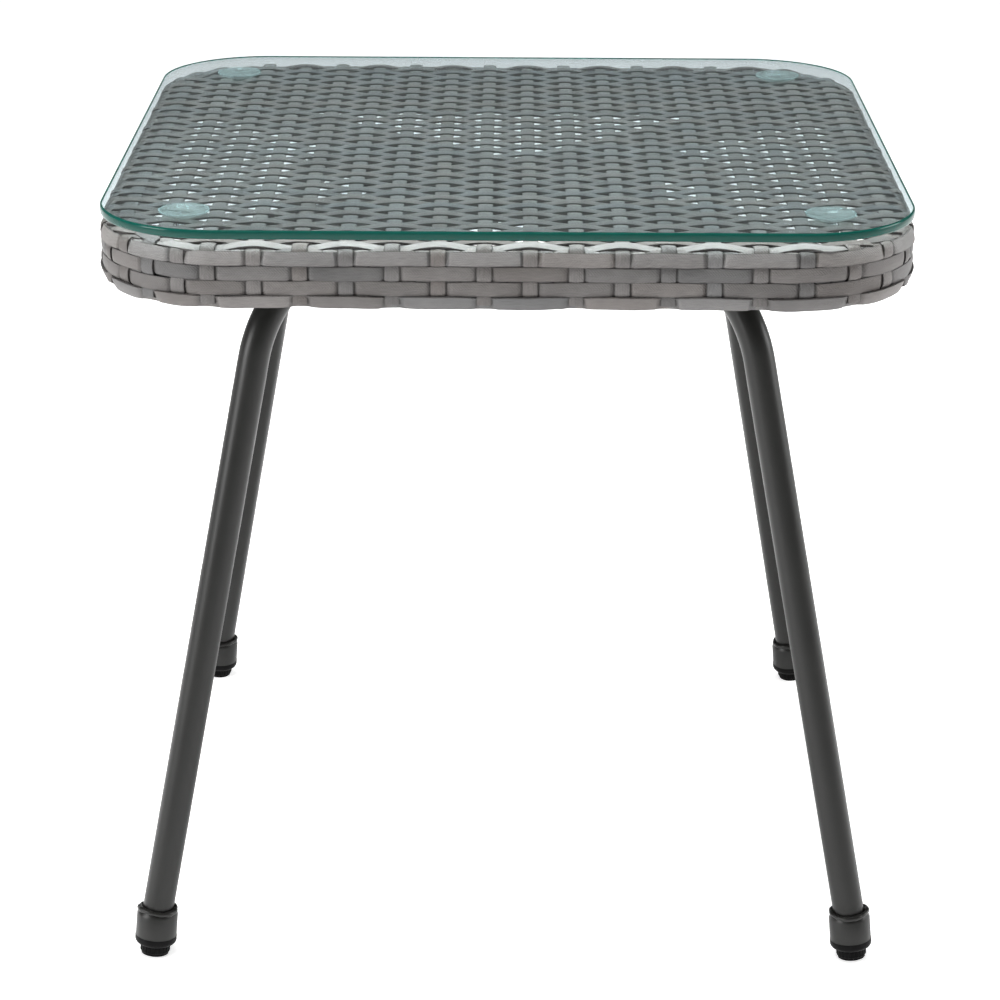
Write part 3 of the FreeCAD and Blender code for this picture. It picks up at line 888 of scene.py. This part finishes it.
@dataclass
class WovenSkin:
    """The woven top and band, strand by strand. Sizes are in millimetres."""

    finishes: Finishes
    warp_pitch: float = 24.68
    weft_pitch: float = 8.7
    warp_count: int = 18
    weft_reach: int = 25
    stake_reach: float = 182.0
    stake_length: float = 13.0
    weft_inset: float = 5.5
    warp_inset: float = 9.0
    last_weft: float = 172.0
    last_wave: float = 1.55
    # painted highlight on the front edge's last weft
    last_pale: float = 0.24
    weft_step: float = 2.6
    warp_step: float = 2.4
    weft_drop: float = 0.6
    level: float = 434.35
    weft_wave: float = 1.32
    warp_wave: float = 0.45
    row_centres: tuple[float, ...] = (429.8, 421.6, 413.4, 405.6)
    over: float = 1.35
    upright_over: float = 1.5
    last_tuck: float = -0.9
    bend_depth: float = 5.0
    row_leans: tuple[float, ...] = (0.30, -0.02, -0.02, -0.42)
    row_offsets: tuple[float, ...] = (0.0, 0.0, 0.0, -0.25)
    # painted light: the top row is made paler, as lit more strongly from above
    row_pales: tuple[float, ...] = (0.20, 0.0, 0.0, 0.0)
    row_start: float = 41.0
    ring_step: float = 1.6
    ring_width: float = 7.95
    under_flat: float = 3.7
    under_ramp: float = 3.3
    narrow_reach: float = 17.0
    # painted shade beside each crossing: its distance from the upright's middle, its half width and its
    # depth
    hollow_middle: float = 4.3
    hollow_reach: float = 1.5
    hollow_depth: float = 0.9
    bottom: float = 407.0
    outline: Outline = field(default_factory=Outline)
    uprights: list[Upright] = field(default_factory=list)

    def __post_init__(self) -> None:
        """Seeds the small irregularities of hand weaving."""
        self.chance = np.random.default_rng(20)

    def warp_end(self, number: int, front: bool) -> Upright:
        """Where a warp's end runs down.

        Args:
            number: the warp, counted from the middle.
            front: the front end, else the back end.

        Returns:
            The upright.
        """
        across = (number + 0.5) * self.warp_pitch
        turn = Turn.UPPER if number % 2 == 0 else Turn.LOWER
        angle = WARP_ANGLES.get(number)
        if angle is None and abs(across) > self.outline.straight:
            angle = math.degrees(math.asin((abs(across) - self.outline.straight) / self.outline.radius))
        if angle is None:
            return Upright(self.outline.on_face(front, across), turn)
        return Upright(self.outline.on_corner(front, across > 0, angle), turn)

    def weft_turn(self, number: int, right: bool) -> Turn:
        """Which rows a weft's end shows in.

        Args:
            number: the weft, counted from the middle.
            right: the right end, else the left end.

        Returns:
            The rows.
        """
        if abs(number) >= self.weft_reach - 1:
            return Turn.UPPER if number == 1 - self.weft_reach and not right else Turn.COVERED
        step = (number if right else number + 25) % 6
        return {0: Turn.UPPER, 3: Turn.LOWER}.get(step, Turn.COVERED)

    def weft_end(self, number: int, right: bool) -> Upright:
        """Where a weft's end runs down.

        Args:
            number: the weft, counted from the middle.
            right: the right end, else the left end.

        Returns:
            The upright.
        """
        turn = self.weft_turn(number, right)
        angles = RIGHT_WEFT_ANGLES if right else LEFT_WEFT_ANGLES
        if abs(number) not in angles:
            return Upright(self.outline.on_flank(right, number * self.weft_pitch), turn)
        return Upright(self.outline.on_corner(number < 0, right, angles[abs(number)]), turn)

    def drop(self, upright: Upright, level: float) -> np.ndarray:
        """Knots from the top over the rail's edge, down the wall and under it.

        Args:
            upright: where the strand runs down.
            level: height at which it leaves the top.

        Returns:
            Knots with outward directions, six columns.
        """
        point, out = self.outline.spot(upright.place)
        rows = []
        for offset, rise, lean in OUTER_BEND if 0 in upright.turn.value else INNER_BEND:
            up = unit(np.array([0.0, 0.0, 1.0]) * (1 - lean) + out * lean)
            rows.append(np.concatenate([point + out * offset + np.array([0, 0, level + rise]), up]))
        for number, centre in enumerate(self.row_centres):
            reach = self.upright_over if number in upright.turn.value else 0.0
            tuck = self.last_tuck if number == 3 and not reach else 0.0
            for shift in (2.3, -2.3) if number < 3 else (2.0, -0.6):
                if centre + shift > level - self.bend_depth:
                    continue
                spot = point + out * (reach + tuck) + np.array([0, 0, centre + shift])
                rows.append(np.concatenate([spot, out]))
        for offset, rise, sideways, downward in UNDER_BEND:
            up = unit(out * sideways - np.array([0.0, 0.0, downward]))
            rows.append(np.concatenate([point + out * offset + np.array([0, 0, self.bottom + rise]), up]))
        self.uprights.append(upright)
        return np.array(rows)

    def strand_tint(self) -> float:
        """A strand's tint, drawn at random."""
        return float(np.clip(self.chance.normal(0.45, 0.33), 0.0, 1.0))

    @staticmethod
    def over_top(start: np.ndarray, top: np.ndarray, stop: np.ndarray, step: float) -> np.ndarray:
        """Joins a strand's run on the top with its two ends down the walls.

        Args:
            start: knots of the end at the run's start, from the top down.
            top: rows of the run.
            stop: knots of the other end.
            step: distance between stations on the walls.

        Returns:
            Rows of the whole strand.
        """
        first = flowing(np.vstack([start[::-1], top[:2]]), step)
        last = flowing(np.vstack([top[-2:], stop]), step)
        return np.vstack([first[:-1], top[1:-1], last[1:]])

    def weft(self, loom: Loom, number: int) -> None:
        """Lays one weft, from the left wall over the top to the right wall.

        Args:
            loom: the loom.
            number: the weft, counted from the middle.
        """
        y = number * self.weft_pitch
        inner = self.outline.radius - self.weft_inset
        beyond = max(abs(y) - self.outline.straight, 0.0)
        reach = self.outline.straight + math.sqrt(max(inner**2 - beyond**2, 9.0))
        if abs(number) == self.weft_reach:
            reach = self.last_weft
        count = int(2 * reach / (self.warp_pitch / 6))
        xs = np.linspace(-reach, reach, count)
        sign = 1 if number % 2 == 0 else -1
        wave = np.cos(math.pi * (xs / self.warp_pitch - 0.5))
        sway = 0.22 * np.sin(xs / 61.0 + self.chance.uniform(0, 6.3)) + 0.12 * np.sin(xs / 17.0 + number)
        amount = self.weft_wave * float(self.chance.uniform(0.92, 1.08))
        zs = self.level - sign * amount * wave
        lean = np.zeros_like(xs)
        if abs(number) == self.weft_reach:
            lean += 0.12 * math.copysign(1, number)
            zs = self.level - sign * self.last_wave * wave
        top = np.stack([xs, y + sway, zs, 0 * xs, lean, 1 + 0 * xs], axis=1)
        left = self.drop(self.weft_end(number, False), self.level - self.weft_drop)
        right = self.drop(self.weft_end(number, True), self.level - self.weft_drop)
        rows = self.over_top(left, top, right, self.weft_step)
        shade = float(np.clip(self.chance.normal(0.0, 0.05), -0.05, 0.12))
        # painted highlight: the last weft at the front edge is made paler, standing in for light glancing
        # off the rolled edge
        if number == -self.weft_reach:
            shade += self.last_pale
        loom.lay(rows[:, :3], unit(rows[:, 3:]), self.strand_tint(), max(shade, 0.0))

    def warp(self, loom: Loom, number: int) -> None:
        """Lays one warp, from the front wall over the top to the back wall.

        Args:
            loom: the loom.
            number: the warp, counted from the middle.
        """
        x = (number + 0.5) * self.warp_pitch
        beyond = max(abs(x) - self.outline.straight, 0.0)
        inner = self.outline.radius - self.warp_inset
        reach = self.outline.straight + math.sqrt(inner**2 - beyond**2)
        count = int(2 * reach / (self.weft_pitch / 3))
        ys = np.linspace(-reach, reach, count)
        sign = 1 if number % 2 == 0 else -1
        zs = self.level + 0.15 + self.warp_wave * sign * np.cos(math.pi * ys / self.weft_pitch)
        drift = 0.25 * np.sin(ys / 70.0 + self.chance.uniform(0, 6.3))
        top = np.stack([x + drift, ys, zs, 0 * ys, 0 * ys, 1 + 0 * ys], axis=1)
        level = self.level + (1.2 if number % 2 else -0.9)
        front = self.drop(self.warp_end(number, True), level)
        back = self.drop(self.warp_end(number, False), level)
        rows = self.over_top(front, top, back, self.warp_step)
        loom.lay(rows[:, :3], unit(rows[:, 3:]), self.strand_tint(), float(self.chance.uniform(0, 0.16)))

    def stake(self, loom: Loom, x: float, front: bool) -> None:
        """Lays one short strand, from under the top down the wall.

        Args:
            loom: the loom.
            x: where it lies.
            front: the front, else the back.
        """
        if abs(x) > self.outline.straight:
            bend = (abs(x) - self.outline.straight) / self.outline.radius
            angle = math.degrees(math.asin(bend)) * (1.04 if x > 0 else 0.94)
            place = self.outline.on_corner(front, x > 0, angle)
        else:
            place = self.outline.on_face(front, x)
        point, out = self.outline.spot(place)
        start = point - out * self.stake_length
        start[2] = self.level - 1.2
        knots = self.drop(Upright(place, Turn.COVERED), self.level - 0.9)
        first = np.concatenate([start, [0, 0, 1.0]])
        second = np.concatenate([start + out * 5.0, [0, 0, 1.0]])
        rows = flowing(np.vstack([first, second, knots]), self.weft_step)
        # the short strands are paler than the rest: a painted highlight, with a random spread of tone
        loom.lay(rows[:, :3], unit(rows[:, 3:]), self.strand_tint(), float(self.chance.uniform(0.1, 0.45)))

    def stakes(self, loom: Loom) -> None:
        """Lays the two short strands between each pair of warps, front and back.

        Args:
            loom: the loom.
        """
        last = self.warp_count // 2
        for number in range(-last, last - 1):
            for third in (1, 2):
                x = (number + 0.5 + third / 3) * self.warp_pitch
                if abs(x) > self.stake_reach:
                    continue
                self.stake(loom, x, True)
                self.stake(loom, x, False)

    def ring(self, loom: Loom, number: int) -> None:
        """Lays one ring round the band.

        Args:
            loom: the loom.
            number: the ring, 0 at the top.
        """
        count = int(self.outline.length / self.ring_step)
        dips = [u.place for u in self.uprights if number in u.turn.value]
        wobble = self.chance.uniform(0, 6.3, 4)
        order = sorted(d % self.outline.length for d in dips)
        runs = np.clip(self.chance.normal(0.42, 0.30, len(order) + 1), 0.0, 1.0)
        pales = np.clip(self.chance.normal(0.05, 0.05, len(order) + 1), 0.0, 0.2)
        line = []
        ups = []
        tints = []
        shades = []
        widths = []
        places = np.linspace(0, self.outline.length, count) + 0.5 * self.outline.length
        for place in places + self.row_start * number:
            point, out = self.outline.spot(place)
            near = min(self.outline.apart(place, dip) for dip in dips)
            run = int(np.searchsorted(order, place % self.outline.length)) % max(len(order), 1)
            tints.append(float(runs[run]))
            # painted shade: the ring is darkened in a narrow band beside each upright it dives under
            painted_crossing_shade = max(0.0, 1.0 - abs(near - self.hollow_middle) / self.hollow_reach)
            # random tone of each run, plus the top row's painted light
            pale = float(pales[run]) + self.row_pales[number]
            shades.append(pale * (1 - painted_crossing_shade) - self.hollow_depth * painted_crossing_shade)
            widths.append(self.ring_width - fading(near, self.narrow_reach))
            offset = self.over * (1 - fading(max(near - self.under_flat, 0.0), self.under_ramp))
            offset += 0.02 * math.sin(place / 8.2) + self.row_offsets[number]
            around = 2 * math.pi * place / self.outline.length
            rise = 0.22 * math.sin(9 * around + wobble[0]) + 0.16 * math.sin(23 * around + wobble[1])
            rise += 0.10 * math.sin(61 * around + wobble[2])
            line.append(point + out * offset + np.array([0, 0, self.row_centres[number] + rise]))
            ups.append(out + np.array([0, 0, self.row_leans[number]]))
        loom.lay(np.array(line), unit(np.array(ups)), np.array(tints), np.array(shades), np.array(widths))

    def build(self) -> None:
        """Weaves the whole skin and places its pieces."""
        wefts = Loom("wicker_wefts")
        for number in range(-self.weft_reach, self.weft_reach + 1):
            self.weft(wefts, number)
        warps = Loom("wicker_warps")
        half = self.warp_count // 2
        for number in range(-half, half):
            self.warp(warps, number)
        stakes = Loom("wicker_stakes")
        self.stakes(stakes)
        rings = Loom("wicker_rings")
        for number in range(len(self.row_centres)):
            self.ring(rings, number)
        strand = self.finishes.made["woven_strand"]
        for loom, nodes in ((wefts, ("wicker_top",)), (rings, ("wicker_apron",)), (warps, ()), (stakes, ())):
            Workshop.place(loom.bind(), "table", "woven_strand", strand, nodes)


# ---- glass and cups


@dataclass
class GlassPane:
    """The loose pane, with rounded corners and a polished edge."""

    finishes: Finishes
    corner: float = 66.0
    edge: float = 1.2

    def build(self) -> None:
        """Cuts, rounds and dresses the pane."""
        low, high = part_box("glass_top")
        middle = (low + high) / 2
        size = high - low
        bpy.ops.object.select_all(action="DESELECT")
        bpy.ops.mesh.primitive_cube_add(size=1, location=middle)
        pane = bpy.context.object
        pane.scale = size
        Workshop.settle(pane)
        self.round(pane, True, self.corner * MM, 20)
        self.round(pane, False, self.edge * MM, 4)
        pane.name = "glass_pane"
        pane.data.name = "glass_pane"
        pane.data.materials.append(self.finishes.made["clear_glass"])
        pane.data.materials.append(self.finishes.made["glass_edge"])
        Workshop.smooth(pane, 50.0)
        flats = set()
        for face in pane.data.polygons:
            flat = abs(face.normal.z) > 0.999
            face.material_index = 0 if flat else 1
            if flat:
                flats.update(tuple(sorted(key)) for key in face.edge_keys)
        for edge in pane.data.edges:
            if tuple(sorted(edge.vertices)) in flats:
                edge.use_edge_sharp = True
        Workshop.place(pane, "glass", "clear_glass", None, ("glass_top",))

    def round(self, pane: Any, upright: bool, radius: float, steps: int) -> None:
        """Rounds the upright edges, or the edges of the two faces.

        Args:
            pane: the object.
            upright: round the upright edges, else the others.
            radius: radius of the rounding.
            steps: segments of the rounding.
        """
        Workshop.only(pane)
        bpy.ops.object.mode_set(mode="EDIT")
        bpy.ops.mesh.select_mode(type="EDGE")
        bpy.ops.mesh.select_all(action="DESELECT")
        bpy.ops.object.mode_set(mode="OBJECT")
        mesh = pane.data
        for edge in mesh.edges:
            first, second = (mesh.vertices[v].co for v in edge.vertices)
            level = abs(first.z - second.z) < 0.00001
            edge.select = level != upright
        bpy.ops.object.mode_set(mode="EDIT")
        bpy.ops.mesh.bevel(offset=radius, segments=steps, affect="EDGES", clamp_overlap=True)
        bpy.ops.object.mode_set(mode="OBJECT")


@dataclass
class Cups:
    """The four clear cups that hold the pane."""

    finishes: Finishes

    def build(self) -> None:
        """Shows the cups smooth and frosted."""
        for corner in Corner:
            Workshop.refine(f"suction_cup_{corner.label}", f"cup_{corner.label}", self.finishes, 30.0)


# ---- frame, legs and feet


@dataclass
class Frame:
    """Rails, diagonals and fasteners, as the CAD has them."""

    finishes: Finishes

    def build(self) -> None:
        """Dresses the CAD nodes of the frame."""
        diagonals = ("diagonal_tube_long", "diagonal_tube_short_front", "diagonal_tube_short_back")
        fasteners = ("leg_bolts", "rivet_nuts", "bolt_saddles")
        for node in ("frame_rail_front", "frame_rail_back", *diagonals, *fasteners):
            Workshop.refine(node, node + "_shown", self.finishes)


@dataclass
class Foot:
    """A leg with its socket, weld bead, insert, knob and pad."""

    finishes: Finishes
    corner: Corner
    tilt: float = 7.0
    bead_turn: float = 10.4
    bead_wall: float = 1.3
    bead_level: float = 26.5
    lumps: int = 11

    def axis(self) -> tuple[Vector, Vector]:
        """Lowest point and upward direction of the foot's axis.

        Returns:
            The point and the direction.
        """
        _, along_x, along_y = self.corner.value
        low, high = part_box(f"slip_pad_{self.corner.label}")
        middle = (low + high) / 2
        lean = math.radians(self.tilt) / math.sqrt(2)
        upward = Vector((-along_x * math.sin(lean), -along_y * math.sin(lean), 1.0)).normalized()
        return middle, upward

    def bead(self) -> None:
        """The lumpy weld bead where the socket meets the leg."""
        bottom, upward = self.axis()
        bpy.ops.object.select_all(action="DESELECT")
        bpy.ops.mesh.primitive_torus_add(
            major_segments=90,
            minor_segments=12,
            major_radius=self.bead_turn * MM,
            minor_radius=self.bead_wall * MM,
        )
        bead = bpy.context.object
        chance = np.random.default_rng(7 + self.corner.value[1] * 2 + self.corner.value[2])
        phase = chance.uniform(0, 6.3, 3)
        for vertex in bead.data.vertices:
            angle = math.atan2(vertex.co.y, vertex.co.x)
            lump = 1 + 0.22 * abs(math.sin(self.lumps * angle / 2 + phase[0]))
            lump += 0.16 * math.sin(3 * angle + phase[1])
            ring = Vector((math.cos(angle), math.sin(angle), 0)) * self.bead_turn * MM
            vertex.co = ring + (vertex.co - ring) * lump
            vertex.co.z += 0.6 * MM * math.sin(2 * angle + phase[2])
        turn = Vector((0, 0, 1)).rotation_difference(upward).to_matrix().to_4x4()
        bead.data.transform(Matrix.Translation(bottom + upward * self.bead_level * MM) @ turn)
        bead.name = f"weld_bead_{self.corner.label}"
        bead.data.name = bead.name
        Workshop.smooth(bead, 60.0)
        Workshop.place(bead, "table", "leg_paint", self.finishes.made["leg_paint"])

    def build(self) -> None:
        """Dresses the leg and its foot."""
        label = self.corner.label
        smooth_angles = {
            "leg": 40.0,
            "foot_socket": 30.0,
            "leg_end_cap": 30.0,
            "foot_insert": 30.0,
            "levelling_knob": 25.0,
            "slip_pad": 30.0,
        }
        for kind, degrees in smooth_angles.items():
            Workshop.refine(f"{kind}_{label}", f"{kind}_{label}_shown", self.finishes, degrees)
        self.bead()


# ---- studio


@dataclass
class Studio:
    """Floor, lights and camera."""

    lens: float = 107.4
    pitch: float = 20.29
    roll: float = 0.33
    stand: tuple[float, float, float] = (0.0, -1.7626, 0.8617)
    shift: float = -0.0058
    sky_level: float = 0.08
    horizon_level: float = 0.76
    haze_low: float = 0.05
    haze_high: float = 0.17

    def build(self) -> None:
        """Sets up the studio."""
        self.floor()
        self.sky()
        self.lamp("left", (-1.9, -1.1, 0.9), 0.9, 30.0)
        self.lamp("right", (2.0, 0.1, 0.9), 1.0, 22.0)
        self.lamp("top", (-0.2, -0.1, 2.3), 1.3, 86.0, False)
        self.camera()

    def floor(self) -> None:
        """A wide pale floor."""
        bpy.ops.object.select_all(action="DESELECT")
        bpy.ops.mesh.primitive_plane_add(size=60, location=(0, 0, 0))
        floor = bpy.context.object
        Workshop.settle(floor)
        floor.name = "studio_floor"
        floor.data.materials.append(PaperFinish().make())

    def sky(self) -> None:
        """White surroundings."""
        world = bpy.data.worlds.new("studio")
        world.use_nodes = True
        tree = world.node_tree
        background = tree.nodes["Background"]
        background.inputs["Color"].default_value = (1.0, 1.0, 1.0, 1.0)
        direction = tree.nodes.new("ShaderNodeTexCoord").outputs["Generated"]
        split = tree.nodes.new("ShaderNodeSeparateXYZ")
        tree.links.new(direction, split.inputs["Vector"])
        fade = tree.nodes.new("ShaderNodeMapRange")
        tree.links.new(split.outputs["Z"], fade.inputs["Value"])
        fade.inputs["From Min"].default_value = self.haze_low
        fade.inputs["From Max"].default_value = self.haze_high
        fade.inputs["To Min"].default_value = self.horizon_level
        fade.inputs["To Max"].default_value = self.sky_level
        tree.links.new(fade.outputs["Result"], background.inputs["Strength"])
        bpy.context.scene.world = world
        bpy.context.scene.view_settings.view_transform = "Standard"

    def lamp(
        self, name: str, place: tuple[float, float, float], size: float, power: float, mirrored: bool = True
    ) -> None:
        """A soft square lamp that looks at the table.

        Args:
            name: the lamp's name.
            place: where it hangs.
            size: its side.
            power: its power in watts.
            mirrored: whether glossy surfaces show it.
        """
        light = bpy.data.lights.new(name, "AREA")
        light.shape = "SQUARE"
        light.size = size
        light.energy = power
        lamp = bpy.data.objects.new(name, light)
        bpy.context.scene.collection.objects.link(lamp)
        lamp.location = place
        lamp.visible_glossy = mirrored
        aim = Vector((0, 0, 0.35)) - Vector(place)
        lamp.rotation_euler = aim.to_track_quat("-Z", "Y").to_euler()

    def camera(self) -> None:
        """The camera, at the viewing angle."""
        data = bpy.data.cameras.new("camera")
        data.lens = self.lens
        data.sensor_width = 36.0
        data.shift_x = self.shift
        camera = bpy.data.objects.new("camera", data)
        bpy.context.scene.collection.objects.link(camera)
        turn = Matrix.Rotation(math.radians(90 - self.pitch), 4, "X")
        turn = turn @ Matrix.Rotation(math.radians(self.roll), 4, "Z")
        camera.matrix_world = Matrix.Translation(self.stand) @ turn
        bpy.context.scene.camera = camera


def main() -> None:
    """Builds the table and its studio."""
    logging.basicConfig(level=logging.INFO, format="%(name)s %(message)s")
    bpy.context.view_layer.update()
    finishes = Finishes().mix()
    WovenSkin(finishes).build()
    GlassPane(finishes).build()
    Cups(finishes).build()
    Frame(finishes).build()
    for corner in Corner:
        Foot(finishes, corner).build()
    Studio().build()


if __name__ == "__main__":
    main()
